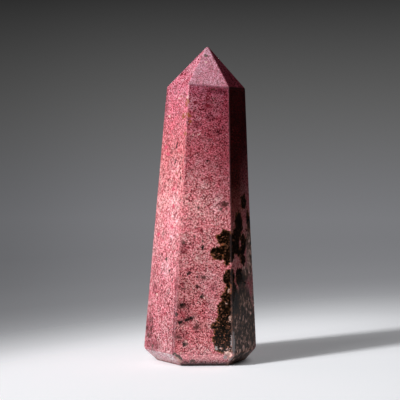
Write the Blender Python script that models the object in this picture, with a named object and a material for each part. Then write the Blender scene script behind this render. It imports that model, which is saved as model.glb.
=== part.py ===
"""Rhodonite point: a six-sided stone tower, ground flat, tapered and polished.

Metres, +Z up. The stone stands on its flat base, near whose middle the origin lies, and its
front is towards -Y. It is one piece of stone. It was shaped by grinding flat faces, so it is
modelled the same way: a block is cut back to one plane after another, and the edges are eased.
"""

from math import asin, cos, degrees, radians, sin
from typing import NamedTuple

import bmesh
import bpy
from mathutils import Quaternion, Vector
from mathutils.geometry import intersect_plane_plane

MM = 0.001

# The apex as ground, before easing takes its last part off and leaves the stone 150 mm tall
APEX = Vector((3.4, 0.0, 150.6)) * MM

# The block that the stone is ground from
BLOCK_WIDTH = 90.0 * MM
BLOCK_HEIGHT = 200.0 * MM

# How much easing takes off each of the two faces beside an edge
EASE_TIP = 0.35 * MM
EASE_SHOULDER = 0.4 * MM
EASE_FOOT = 1.1 * MM
EASE_CHAMFER_EDGE = 1.0 * MM
EASE_STANDING_EDGE = 0.5 * MM
WIDEST_EASE = EASE_FOOT
EASE_STEPS = 3

# A face that is turned up or down by more than this is no longer one of the long faces
LONG_FACE_LIMIT = 20.0
# A face that is turned down by more than this is the base
BASE_LIMIT = 80.0

# Corners closer together than this are one corner
MEETING_DISTANCE = 0.005 * MM


class Side(NamedTuple):
    """One long face, the chamfer under it, and the long edge on its right, seen from outside.

    bearing is the way the face looks, in degrees from the front (-Y) towards +X.
    reach is its distance from the Z axis at the level of the base.
    lean is how far it is tilted back, in degrees.
    chamfer is the angle between it and its chamfer, in degrees.
    shoulder and foot are the heights where its right edge meets the tip and the chamfers.
    ease is the easing of that edge.
    """

    bearing: float
    reach: float
    lean: float
    chamfer: float
    shoulder: float
    foot: float
    ease: float


# The sides in order round the stone: left, front, right, right back, back, left back
SIDES = (
    Side(-56.7, 23.9 * MM, 4.4, 50.0, 130.4 * MM, 6.1 * MM, 0.8 * MM),
    Side(2.8, 23.3 * MM, 3.1, 45.0, 129.0 * MM, 5.7 * MM, 0.4 * MM),
    Side(63.3, 23.4 * MM, 2.0, 40.0, 130.0 * MM, 5.7 * MM, 0.6 * MM),
    Side(122.9, 24.1 * MM, 2.4, 45.0, 130.0 * MM, 5.8 * MM, 0.6 * MM),
    Side(183.2, 23.8 * MM, 3.2, 45.0, 130.0 * MM, 5.8 * MM, 0.5 * MM),
    Side(242.4, 24.1 * MM, 4.3, 45.0, 130.5 * MM, 5.8 * MM, 0.8 * MM),
)

STONE_PINK = (0.42, 0.11, 0.13, 1.0)
STONE_ROUGHNESS = 0.22


def clear_scene():
    """Remove every object that the file opened with."""
    for thing in list(bpy.data.objects):
        bpy.data.objects.remove(thing, do_unlink=True)


def face_plane(side):
    """Give a point on a long face and the way it looks."""
    turn, lean = radians(side.bearing), radians(side.lean)
    level = Vector((sin(turn), -cos(turn), 0.0))
    return level * side.reach, level * cos(lean) + Vector((0.0, 0.0, sin(lean)))


def edge_point(side, neighbour, height):
    """Give the point at one height on the edge between two long faces."""
    start, along = intersect_plane_plane(*face_plane(side), *face_plane(neighbour))
    return start + along * ((height - start.z) / along.z)


def chamfer_normal(side, left_foot, right_foot):
    """Give the way that the chamfer under a long face looks."""
    along = (right_foot - left_foot).normalized()
    return Quaternion(along, radians(side.chamfer)) @ face_plane(side)[1]


def tip_normal(left_shoulder, right_shoulder):
    """Give the way that the tip's face over two shoulder corners looks."""
    return (right_shoulder - left_shoulder).cross(APEX - left_shoulder).normalized()


def grind(block, point, normal):
    """Cut the block back to the plane through the point and close the cut with one flat face."""
    cut = bmesh.ops.bisect_plane(
        block,
        geom=block.verts[:] + block.edges[:] + block.faces[:],
        dist=MEETING_DISTANCE,
        plane_co=point,
        plane_no=normal,
        clear_outer=True,
    )
    rim = [item for item in cut["geom_cut"] if isinstance(item, bmesh.types.BMEdge)]
    bmesh.ops.contextual_create(block, geom=[edge for edge in rim if edge.is_boundary])


def rough_block():
    """Make the block, standing on the level of the base."""
    block = bmesh.new()
    bmesh.ops.create_cube(block, size=1.0)
    bmesh.ops.scale(block, vec=(BLOCK_WIDTH, BLOCK_WIDTH, BLOCK_HEIGHT), verts=block.verts)
    bmesh.ops.translate(block, vec=(0.0, 0.0, BLOCK_HEIGHT / 2), verts=block.verts)
    return block


def ground_block():
    """Grind the block to the long faces, then the tip's faces, then the chamfers."""
    block = rough_block()
    for side in SIDES:
        grind(block, *face_plane(side))
    neighbours = SIDES[1:] + SIDES[:1]
    shoulders = [edge_point(a, b, a.shoulder) for a, b in zip(SIDES, neighbours)]
    feet = [edge_point(a, b, a.foot) for a, b in zip(SIDES, neighbours)]
    for index in range(len(SIDES)):
        grind(block, APEX, tip_normal(shoulders[index - 1], shoulders[index]))
    for index, side in enumerate(SIDES):
        grind(block, feet[index], chamfer_normal(side, feet[index - 1], feet[index]))
    bmesh.ops.recalc_face_normals(block, faces=block.faces)
    return block


def kind_of(face):
    """Say which kind of face this is, from how far up or down it looks."""
    lift = degrees(asin(max(-1.0, min(1.0, face.normal.z))))
    if lift > LONG_FACE_LIMIT:
        return "tip"
    if lift > -LONG_FACE_LIMIT:
        return "long"
    if lift > -BASE_LIMIT:
        return "chamfer"
    return "base"


def long_edge_ease(edge):
    """Give the easing of a long edge: that of the side whose right edge it is."""
    middle = (edge.verts[0].co + edge.verts[1].co) / 2

    def distance(index):
        neighbour = SIDES[(index + 1) % len(SIDES)]
        return (edge_point(SIDES[index], neighbour, middle.z) - middle).length

    return SIDES[min(range(len(SIDES)), key=distance)].ease


def easing(edge):
    """Give the easing of one edge, from the kinds of the two faces beside it."""
    kinds = frozenset(kind_of(face) for face in edge.link_faces)
    if kinds == {"long"}:
        return long_edge_ease(edge)
    return {
        frozenset({"tip"}): EASE_TIP,
        frozenset({"tip", "long"}): EASE_SHOULDER,
        frozenset({"long", "chamfer"}): EASE_FOOT,
        frozenset({"chamfer"}): EASE_CHAMFER_EDGE,
        frozenset({"chamfer", "base"}): EASE_STANDING_EDGE,
    }[kinds]


def stone_mesh():
    """Make the ground stone's mesh, with the easing of each edge as its bevel weight."""
    block = ground_block()
    weight = block.edges.layers.float.new("bevel_weight_edge")
    for edge in block.edges:
        edge[weight] = easing(edge) / WIDEST_EASE
    mesh = bpy.data.meshes.new("rhodonite_point")
    block.to_mesh(mesh)
    block.free()
    return mesh


def stone_material():
    """Make the plain polished pink of the stone."""
    material = bpy.data.materials.new("rhodonite")
    material.use_nodes = True
    shader = material.node_tree.nodes["Principled BSDF"]
    shader.inputs["Base Color"].default_value = STONE_PINK
    shader.inputs["Roughness"].default_value = STONE_ROUGHNESS
    shader.inputs["Metallic"].default_value = 0.0
    return material


def build_stone():
    """Place the stone in the scene, with its edges eased."""
    stone = bpy.data.objects.new("rhodonite_point", stone_mesh())
    bpy.context.scene.collection.objects.link(stone)
    stone.data.materials.append(stone_material())
    eased = stone.modifiers.new("eased_edges", "BEVEL")
    eased.limit_method = "WEIGHT"
    eased.offset_type = "OFFSET"
    eased.width = WIDEST_EASE
    eased.segments = EASE_STEPS
    return stone


clear_scene()
build_stone()
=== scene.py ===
"""Rhodonite point: the looks of a polished six-sided stone tower, in a plain studio.

Metres, +Z up, with the stone's front towards -Y, as in the solid model that this file dresses.
Sizes of meshes that are written in millimetres are multiplied by MM before they are used. The
patterns of the stone are in millimetres throughout.

The stone is one piece. Its flat facets are read from the plain solid, a block is ground to them
again with edges that are rounded as hand polishing leaves them, and the small chips of the real
stone are broken out of it. Its pink grain and the other minerals in it are one material.
"""

import logging
from collections.abc import Iterable, Iterator, Mapping, Sequence
from dataclasses import dataclass, field
from enum import Enum
from functools import cached_property, reduce
from math import asin, cos, degrees, pi, radians, sin
from typing import NamedTuple, Union

import bmesh
import bpy
from mathutils import Matrix, Vector, noise

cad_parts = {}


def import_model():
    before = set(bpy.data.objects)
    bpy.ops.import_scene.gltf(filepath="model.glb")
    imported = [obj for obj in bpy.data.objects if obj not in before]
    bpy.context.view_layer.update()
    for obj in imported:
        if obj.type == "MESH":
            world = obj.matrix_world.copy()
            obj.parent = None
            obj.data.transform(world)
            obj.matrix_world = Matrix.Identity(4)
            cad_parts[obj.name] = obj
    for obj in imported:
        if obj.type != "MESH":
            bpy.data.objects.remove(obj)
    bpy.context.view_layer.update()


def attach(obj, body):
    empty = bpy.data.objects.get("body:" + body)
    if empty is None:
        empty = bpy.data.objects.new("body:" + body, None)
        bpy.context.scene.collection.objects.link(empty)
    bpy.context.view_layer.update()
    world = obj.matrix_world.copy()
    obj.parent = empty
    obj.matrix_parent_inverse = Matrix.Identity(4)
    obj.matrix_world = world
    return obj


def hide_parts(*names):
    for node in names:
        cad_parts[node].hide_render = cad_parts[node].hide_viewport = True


MM = 0.001
MM_PER_METRE = 1000.0
LOG = logging.getLogger("rhodonite_point")

NODE = "rhodonite_point"
BODY = "root"

# A facet that is turned up or down by more than this, in degrees, is no longer a long one
LONG_FACET_LIMIT = 20.0
# A facet that is turned down by more than this, in degrees, is the base
BASE_LIMIT = 80.0
# The tip's, the long and the chamfered facets, and the base
FACET_COUNT = 19
# Corners of the solid that are closer together than this are one corner
MEETING_DISTANCE = 0.002 * MM
# Triangles that are turned from each other by less than this, in degrees, are one facet
FLAT_ANGLE = 0.5

# The largest factor in a ramp of factors: a ramp holds up to 1, so it holds shares of this
BRIGHTEST = 2.6
# The middle of what noise, a cell's random numbers and a ramp's positions range over
HALF = 0.5


class Kind(Enum):
    """The kinds of facet, by where they are on the stone."""

    TIP = "tip"
    LONG = "long"
    CHAMFER = "chamfer"
    BASE = "base"


class Side(Enum):
    """The long facets, each by the sixth of a turn nearest to its bearing from the front."""

    LEFT = -60.0
    FRONT = 0.0
    RIGHT = 60.0
    RIGHT_BACK = 120.0
    BACK = 180.0
    LEFT_BACK = 240.0


@dataclass(frozen=True)
class Facet:
    """One flat face of the stone: the way it looks, its plane's distance from the origin, its area."""

    normal: Vector
    distance: float
    area: float

    @property
    def kind(self) -> Kind:
        """Tell the kind of the facet from how far up or down it looks.

        Returns:
            The kind.
        """
        lift = degrees(asin(max(-1.0, min(1.0, self.normal.z))))
        if lift > LONG_FACET_LIMIT:
            return Kind.TIP
        if lift > -LONG_FACET_LIMIT:
            return Kind.LONG
        return Kind.CHAMFER if lift > -BASE_LIMIT else Kind.BASE

    @property
    def outward(self) -> Vector:
        """Give the level direction in which the facet looks."""
        return Vector((self.normal.x, self.normal.y, 0.0)).normalized()

    @property
    def rightward(self) -> Vector:
        """Give the level direction along the facet, to the right as seen from outside."""
        return Vector((-self.outward.y, self.outward.x, 0.0))

    def place(self, across: float, height: float) -> Vector:
        """Give a point on the facet.

        Args:
            across: Distance to the right of the facet's middle line, seen from outside.
            height: Height above the base.

        Returns:
            The point, in the same unit as the facet's distance.
        """
        reach = (self.distance - self.normal.z * height) / self.normal.xy.length
        return self.outward * reach + self.rightward * across + Vector((0.0, 0.0, height))

    def turned(self, turn: float) -> Matrix:
        """Give the axes of an oval that lies on the facet.

        Args:
            turn: How far the oval is turned anticlockwise, seen from outside, in degrees.

        Returns:
            A rotation that takes X to the right, Y into the stone and Z up the facet.
        """
        right, inward = self.rightward, -self.normal
        up = right.cross(inward)
        axes = Matrix((right, inward, up)).transposed()
        return Matrix.Rotation(radians(turn), 3, self.normal) @ axes


def read_facets(node: bpy.types.Object) -> list[Facet]:
    """Read the flat facets of the plain solid.

    Args:
        node: The solid's object, whose mesh is loose triangles.

    Returns:
        The facets, largest first. The solid's smaller flat faces belong to its eased edges.
    """
    stone = bmesh.new()
    stone.from_mesh(node.data)
    bmesh.ops.remove_doubles(stone, verts=stone.verts, dist=MEETING_DISTANCE)
    bmesh.ops.dissolve_limit(stone, angle_limit=radians(FLAT_ANGLE), verts=stone.verts, edges=stone.edges)
    facets = [
        Facet(face.normal.copy(), face.normal.dot(face.calc_center_median()), face.calc_area())
        for face in stone.faces
    ]
    stone.free()
    return sorted(facets, key=lambda facet: -facet.area)[:FACET_COUNT]


def facing(facets: Iterable[Facet], kind: Kind, side: Side) -> Facet:
    """Give the facet of one kind that looks to one side."""
    way = Vector((sin(radians(side.value)), -cos(radians(side.value)), 0.0))
    return max((facet for facet in facets if facet.kind is kind), key=lambda facet: facet.normal.dot(way))


class Spot(NamedTuple):
    """An oval on a facet, in millimetres.

    across and height are its middle's place on the facet, wide and tall its half width and half
    height, and turn how far it is turned anticlockwise, in degrees.
    """

    across: float
    height: float
    wide: float
    tall: float
    turn: float = 0.0


class Blot(NamedTuple):
    """A round spot on an edge or a small facet: its middle and radius, in millimetres."""

    x: float
    y: float
    z: float
    radius: float


Value = Union["Wire", float, Sequence[float]]
Stops = Sequence[tuple[float, Sequence[float]]]
Triple = tuple[float, float, float]
Band = tuple[float, float]


class Wire:
    """An output of a node, on which sums can be written as they are on numbers."""

    def __init__(self, board: "Board", socket: bpy.types.NodeSocket) -> None:
        """Keep the board and the output socket."""
        self.board = board
        self.socket = socket

    @property
    def is_vector(self) -> bool:
        """Say whether the output is a vector."""
        return self.socket.type == "VECTOR"

    @property
    def is_colour(self) -> bool:
        """Say whether the output is a colour."""
        return self.socket.type == "RGBA"

    def __add__(self, other: Value) -> "Wire":
        """Give the sum."""
        return self.board.sum("ADD", self, other)

    def __radd__(self, other: Value) -> "Wire":
        """Give the sum, with the wire second."""
        return self.board.sum("ADD", other, self)

    def __sub__(self, other: Value) -> "Wire":
        """Give the difference."""
        return self.board.sum("SUBTRACT", self, other)

    def __rsub__(self, other: Value) -> "Wire":
        """Give the difference, with the wire second."""
        return self.board.sum("SUBTRACT", other, self)

    def __mul__(self, other: Value) -> "Wire":
        """Give the product."""
        return self.board.sum("MULTIPLY", self, other)

    def __rmul__(self, other: Value) -> "Wire":
        """Give the product, with the wire second."""
        return self.board.sum("MULTIPLY", other, self)

    def __truediv__(self, other: Value) -> "Wire":
        """Give the quotient."""
        return self.board.sum("DIVIDE", self, other)

    def __pow__(self, other: float) -> "Wire":
        """Give a power."""
        return self.board.sum("POWER", self, other)


class Board:
    """A node tree, to which nodes are added one at a time."""

    def __init__(self, tree: bpy.types.NodeTree) -> None:
        """Start from an emptied tree."""
        self.tree = tree
        self.tree.nodes.clear()

    def node(
        self,
        kind: str,
        settings: Mapping[str, object] | None = None,
        sockets: Mapping[str, Value] | None = None,
    ) -> bpy.types.Node:
        """Make one node.

        Args:
            kind: The node's type.
            settings: Its properties, set first; "stops" is a ramp's positions and colours.
            sockets: Values or wires for its inputs, by their identifiers.

        Returns:
            The node.
        """
        made = self.tree.nodes.new(kind)
        for name, setting in (settings or {}).items():
            if name == "stops":
                self._set_stops(made.color_ramp, setting)
            else:
                setattr(made, name, setting)
        for name, value in (sockets or {}).items():
            self._fill(next(s for s in made.inputs if s.identifier == name), value)
        return made

    def wire(
        self,
        kind: str,
        settings: Mapping[str, object] | None = None,
        sockets: Mapping[str, Value] | None = None,
        output: str = "",
    ) -> Wire:
        """Make one node and give one of its outputs.

        Args:
            kind: The node's type.
            settings: Its properties.
            sockets: Values or wires for its inputs, by their identifiers.
            output: The identifier of the output; without it, the first one is given.

        Returns:
            The output.
        """
        made = self.node(kind, settings, sockets)
        if not output:
            return Wire(self, made.outputs[0])
        return Wire(self, next(s for s in made.outputs if s.identifier == output))

    def _fill(self, socket: bpy.types.NodeSocket, value: Value) -> None:
        """Link a wire to an input, or set the input's own value.

        Args:
            socket: The input.
            value: A wire, or a number, vector or colour.
        """
        if isinstance(value, Wire):
            self.tree.links.new(value.socket, socket)
        elif socket.type == "RGBA" and not isinstance(value, (int, float)) and len(value) == 3:
            socket.default_value = (*value, 1.0)
        elif socket.type == "VECTOR" and isinstance(value, (int, float)):
            socket.default_value = (value,) * 3
        elif socket.type == "RGBA" and isinstance(value, (int, float)):
            socket.default_value = (value, value, value, 1.0)
        else:
            socket.default_value = value

    @staticmethod
    def _set_stops(ramp: bpy.types.ColorRamp, stops: Stops) -> None:
        """Give a ramp its stops.

        Args:
            ramp: The ramp, which starts with two stops.
            stops: The positions and their colours.
        """
        while len(ramp.elements) < len(stops):
            ramp.elements.new(1.0)
        for element, (position, colour) in zip(ramp.elements, stops):
            element.position = position
            element.color = (*colour, 1.0)

    def sum(self, operation: str, first: Value, second: Value) -> Wire:
        """Work out a sum of two values.

        Args:
            operation: The sum's name, as Math, Vector Math and Mix nodes all know it.
            first: A wire or a constant: a number, vector or colour.
            second: The same.

        Returns:
            The result: a vector if either is one, else a colour if either is one, else a number.
        """
        pair = (first, second)
        wires = [value for value in pair if isinstance(value, Wire)]
        if any(wire.is_vector for wire in wires):
            names = ("Vector", "Vector_001")
            return self.wire("ShaderNodeVectorMath", {"operation": operation}, dict(zip(names, pair)))
        if any(wire.is_colour for wire in wires):
            return self.mix(1.0, first, second, operation)
        return self.wire("ShaderNodeMath", {"operation": operation}, dict(zip(("Value", "Value_001"), pair)))

    def mix(self, factor: Value, low: Value, high: Value, blend: str = "MIX") -> Wire:
        """Mix two colours.

        Args:
            factor: How much of the second colour is mixed in, from 0 to 1.
            low: The first colour.
            high: The second colour.
            blend: The way of mixing, or a sum's name.

        Returns:
            The mixed colour.
        """
        return self.wire(
            "ShaderNodeMix",
            {"data_type": "RGBA", "blend_type": blend, "clamp_factor": True},
            {"Factor_Float": factor, "A_Color": low, "B_Color": high},
            "Result_Color",
        )

    def ease(self, value: Wire, start: float, end: float) -> Wire:
        """Go smoothly from 0 to 1 as the value goes from start to end."""
        return self.wire(
            "ShaderNodeMapRange",
            {"interpolation_type": "SMOOTHSTEP"},
            {"Value": value, "From Min": start, "From Max": end},
        )

    def ramp(self, value: Wire, stops: Stops, blend: str = "LINEAR") -> Wire:
        """Look a value up in a ramp of colours.

        Args:
            value: What is looked up, from 0 to 1.
            stops: The ramp's positions and their colours.
            blend: How the ramp goes from stop to stop.

        Returns:
            The colour.
        """
        made = self.node("ShaderNodeValToRGB", {"stops": stops}, {"Fac": value})
        made.color_ramp.interpolation = blend
        return Wire(self, made.outputs["Color"])

    def factors(self, value: Wire, stops: Stops) -> Wire:
        """Look a value up in a ramp whose colours are factors of up to BRIGHTEST."""
        scaled = [(at, tuple(band / BRIGHTEST for band in colour)) for at, colour in stops]
        return self.ramp(value, scaled) * BRIGHTEST

    def cells(self, place: Wire, size: float) -> tuple[Wire, Wire]:
        """Divide the stone into cells.

        Args:
            place: The place to look up, in millimetres.
            size: The cells' usual size, in millimetres.

        Returns:
            The distance to the middle of the place's cell, in cells, and the cell's random colour.
        """
        made = self.node(
            "ShaderNodeTexVoronoi",
            {"voronoi_dimensions": "3D", "feature": "F1"},
            {"Vector": place, "Scale": 1.0 / size},
        )
        return Wire(self, made.outputs["Distance"]), Wire(self, made.outputs["Color"])

    def cloud(self, place: Wire, size: float, detail: float = 2.0, roughness: float = 0.5) -> Wire:
        """Give a cloudy value about 0.5.

        Args:
            place: The place to look up, in millimetres.
            size: The lumps' size, in millimetres.
            detail: How many times finer lumps are added.
            roughness: How strong each finer set is beside the one before it.

        Returns:
            The value.
        """
        return self.wire(
            "ShaderNodeTexNoise",
            {"noise_dimensions": "3D"},
            {"Vector": place, "Scale": 1.0 / size, "Detail": detail, "Roughness": roughness},
            "Fac",
        )

    def least(self, first: Value, second: Value) -> Wire:
        """Give the smaller of two numbers."""
        return self.sum("MINIMUM", first, second)

    def most(self, first: Value, second: Value) -> Wire:
        """Give the larger of two numbers."""
        return self.sum("MAXIMUM", first, second)

    def swirl(self, place: Wire, *swirls: Band) -> Wire:
        """Move a place about, so that what is drawn there gets a torn outline.

        Args:
            place: The place, in millimetres.
            swirls: The size of the lumps that move together, and twice the furthest that they
                move, both in millimetres. Coarse swirls come first.

        Returns:
            The moved place.
        """
        for size, reach in swirls:
            moved = self.wire(
                "ShaderNodeTexNoise",
                {"noise_dimensions": "3D"},
                {"Vector": place, "Scale": 1.0 / size, "Detail": 1.0},
                "Color",
            )
            place = place + (moved - (HALF, HALF, HALF)) * reach
        return place

    def dot(self, place: Wire, way: Sequence[float]) -> Wire:
        """Give how far along a direction a place is."""
        return self.wire(
            "ShaderNodeVectorMath",
            {"operation": "DOT_PRODUCT"},
            {"Vector": place, "Vector_001": tuple(way)},
            "Value",
        )

    def length(self, vector: Wire) -> Wire:
        """Give the length of a vector."""
        return self.wire("ShaderNodeVectorMath", {"operation": "LENGTH"}, {"Vector": vector}, "Value")

    def part(self, vector: Wire, letter: str) -> Wire:
        """Give one part of a vector or a colour.

        Args:
            vector: The vector or colour.
            letter: X, Y or Z, which stand for red, green and blue in a colour.

        Returns:
            The part.
        """
        if vector.is_colour:
            band = {"X": "Red", "Y": "Green", "Z": "Blue"}[letter]
            return self.wire("ShaderNodeSeparateColor", {"mode": "RGB"}, {"Color": vector}, band)
        return self.wire("ShaderNodeSeparateXYZ", None, {"Vector": vector}, letter)


@dataclass(frozen=True)
class Chip:
    """A chip broken out of an edge: a round bite, with its middle, in millimetres, outside the stone."""

    x: float
    y: float
    z: float
    radius: float
    roughness: float = 0.08

    @property
    def middle(self) -> Vector:
        """Give the middle of the bite, in metres."""
        return Vector((self.x, self.y, self.z)) * MM


CHIPS = (
    # The left corner of the front facet's foot
    Chip(-12.2, -24.1, 5.8, 1.6),
    Chip(-10.3, -23.6, 4.65, 1.5),
    Chip(-9.0, -22.25, 3.2, 1.3),
    # The right corner of the same foot
    Chip(13.5, -23.3, 5.3, 2.1),
    Chip(15.4, -21.4, 4.5, 1.4),
    # The left edge of the tip
    Chip(-9.8, -2.4, 137.2, 1.2),
)


@dataclass
class PolishedTower:
    """The stone itself: a ground block with eased edges, slight unevenness and a few chips.

    The easings are how much is taken off each of the two facets beside an edge. The long edges
    have their own: the front's left and right edge, and the others. block is half the width of the
    block, border the width of the frame round each facet, and cell the size of the small cells that
    the surface is cut into, of which those near a chip are halved until they are finest_edge long.
    The facets rise and fall by unevenness in lumps, with small_lumps times finer ones added, and
    this dies out within foot_fade of the base. bow is the depth of the hollow in the right edge.
    """

    facets: list[Facet]
    block: float = 0.3
    easings: dict[frozenset[Kind], float] = field(
        default_factory=lambda: {
            frozenset({Kind.TIP}): 0.44 * MM,
            frozenset({Kind.TIP, Kind.LONG}): 0.42 * MM,
            frozenset({Kind.LONG}): 0.85 * MM,
            frozenset({Kind.LONG, Kind.CHAMFER}): 1.2 * MM,
            frozenset({Kind.CHAMFER}): 1.0 * MM,
            frozenset({Kind.CHAMFER, Kind.BASE}): 0.5 * MM,
        }
    )
    left_edge_easing: float = 1.15 * MM
    right_edge_easing: float = 0.4 * MM
    easing_steps: int = 6
    border: float = 0.12 * MM
    cell: float = 3.0 * MM
    unevenness: float = 0.035 * MM
    unevenness_bias: float = 0.6
    lump: float = 22.0 * MM
    small_lump_share: float = 0.5
    small_lumps: float = 2.3
    foot_fade: float = 4.0 * MM
    bow: float = 0.35 * MM
    bow_sharpness: int = 12
    bow_span: float = 1.12
    cutting_distance: float = 0.005 * MM
    corner_distance: float = 0.2 * MM
    slicing_distance: float = 0.01 * MM
    chip_lump: float = 0.9 * MM
    chip_halvings: int = 3
    chip_reach: float = 1.15
    finest_edge: float = 0.16 * MM

    def build(self) -> bpy.types.Object:
        """Grind, ease, wear and chip the stone.

        Returns:
            The finished piece, at the origin.
        """
        stone = self._eased(self._ground())
        self._divide(stone)
        self._wear(stone)
        self._chip(stone)
        mesh = bpy.data.meshes.new("polished_tower")
        for face in stone.faces:
            face.smooth = True
        stone.to_mesh(mesh)
        stone.free()
        tower = bpy.data.objects.new("polished_tower", mesh)
        bpy.context.scene.collection.objects.link(tower)
        return tower

    def _ground(self) -> bmesh.types.BMesh:
        """Cut a block back to each facet's plane in turn.

        Returns:
            The ground block, with sharp edges.
        """
        block = bmesh.new()
        bmesh.ops.create_cube(block, size=2.0 * self.block)
        for facet in self.facets:
            cut = bmesh.ops.bisect_plane(
                block,
                geom=block.verts[:] + block.edges[:] + block.faces[:],
                dist=self.cutting_distance,
                plane_co=facet.normal * facet.distance,
                plane_no=facet.normal,
                clear_outer=True,
            )
            rim = [item for item in cut["geom_cut"] if isinstance(item, bmesh.types.BMEdge)]
            bmesh.ops.contextual_create(block, geom=[edge for edge in rim if edge.is_boundary])
        bmesh.ops.remove_doubles(block, verts=block.verts, dist=self.corner_distance)
        bmesh.ops.recalc_face_normals(block, faces=block.faces)
        return block

    def _easing(self, edge: bmesh.types.BMEdge) -> float:
        """Give the easing of a ground edge, from the facets beside it and from its place.

        Args:
            edge: The edge.

        Returns:
            How much is taken off each of the two facets.
        """
        kinds = frozenset(Facet(face.normal, 0.0, 0.0).kind for face in edge.link_faces)
        middle = (edge.verts[0].co + edge.verts[1].co) / 2
        if kinds == {Kind.LONG} and -middle.y > abs(middle.x):
            return self.left_edge_easing if middle.x < 0.0 else self.right_edge_easing
        return self.easings[kinds]

    def _eased(self, block: bmesh.types.BMesh) -> bmesh.types.BMesh:
        """Round the edges of the ground block, each by its own easing.

        Args:
            block: The ground block, which is used up.

        Returns:
            The stone with its rounded edges.
        """
        widest = max(*self.easings.values(), self.left_edge_easing)
        weight = block.edges.layers.float.new("bevel_weight_edge")
        for edge in block.edges:
            edge[weight] = self._easing(edge) / widest
        mesh = bpy.data.meshes.new("ground_block")
        block.to_mesh(mesh)
        block.free()
        blank = bpy.data.objects.new("ground_block", mesh)
        bpy.context.scene.collection.objects.link(blank)
        eased = blank.modifiers.new("eased_edges", "BEVEL")
        eased.limit_method = "WEIGHT"
        eased.width = widest
        eased.segments = self.easing_steps
        bpy.context.view_layer.update()
        stone = bmesh.new()
        stone.from_object(blank, bpy.context.evaluated_depsgraph_get())
        bpy.data.objects.remove(blank, do_unlink=True)
        bpy.data.meshes.remove(mesh)
        stone.edges.layers.float.remove(stone.edges.layers.float["bevel_weight_edge"])
        return stone

    def _divide(self, stone: bmesh.types.BMesh) -> None:
        """Frame each flat facet with a narrow border, then cut everything into small cells.

        Args:
            stone: The stone, which is changed.
        """
        flats = sorted(stone.faces, key=lambda face: -face.calc_area())[: len(self.facets)]
        bmesh.ops.inset_individual(stone, faces=flats, thickness=self.border, use_even_offset=True)
        for axis in (Vector((1.0, 0.0, 0.0)), Vector((0.0, 1.0, 0.0)), Vector((0.0, 0.0, 1.0))):
            reaches = [vert.co.dot(axis) for vert in stone.verts]
            place = min(reaches) + self.cell * 0.5
            while place < max(reaches):
                bmesh.ops.bisect_plane(
                    stone,
                    geom=stone.verts[:] + stone.edges[:] + stone.faces[:],
                    dist=self.slicing_distance,
                    plane_co=axis * place,
                    plane_no=axis,
                )
                place += self.cell

    def _wear(self, stone: bmesh.types.BMesh) -> None:
        """Make the facets slightly uneven, and the right edge slightly hollow half way up.

        Args:
            stone: The stone, which is changed.
        """
        stone.normal_update()
        top = max(vert.co.z for vert in stone.verts)
        right = Vector((1.0, 0.0, 0.0))
        for vert in stone.verts:
            height = vert.co.z / top
            fade = min(1.0, max(0.0, vert.co.z / self.foot_fade))
            lump = noise.noise(vert.co / self.lump)
            lump += self.small_lump_share * noise.noise(vert.co * self.small_lumps / self.lump)
            facing_right = vert.co.xy.normalized().x if vert.co.xy.length > 0.0 else 0.0
            hollow = max(0.0, facing_right) ** self.bow_sharpness
            vert.co += vert.normal * (lump - self.unevenness_bias) * self.unevenness * fade
            vert.co -= right * self.bow * hollow * sin(pi * min(1.0, height * self.bow_span)) ** 2

    def _chip(self, stone: bmesh.types.BMesh) -> None:
        """Break the chips out, each on a finer patch of the surface.

        Args:
            stone: The stone, which is changed.
        """
        for chip in CHIPS:
            middle, radius = chip.middle, chip.radius * MM
            self._refine(stone, middle, radius)
            for vert in stone.verts:
                away = vert.co - middle
                shape = 1.0 + chip.roughness * noise.noise(vert.co / self.chip_lump)
                if away.length < radius * shape:
                    vert.co = middle + away.normalized() * radius * shape

    def _refine(self, stone: bmesh.types.BMesh, middle: Vector, radius: float) -> None:
        """Halve the longer edges near a bite until they are fine enough.

        Args:
            stone: The stone, which is changed.
            middle: The middle of the bite.
            radius: The bite's radius.
        """
        for _ in range(self.chip_halvings):
            coarse = [
                edge
                for edge in stone.edges
                if edge.calc_length() > self.finest_edge
                and ((edge.verts[0].co + edge.verts[1].co) / 2 - middle).length < radius * self.chip_reach
            ]
            if coarse:
                bmesh.ops.subdivide_edges(stone, edges=coarse, cuts=1, use_grid_fill=True)


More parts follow.
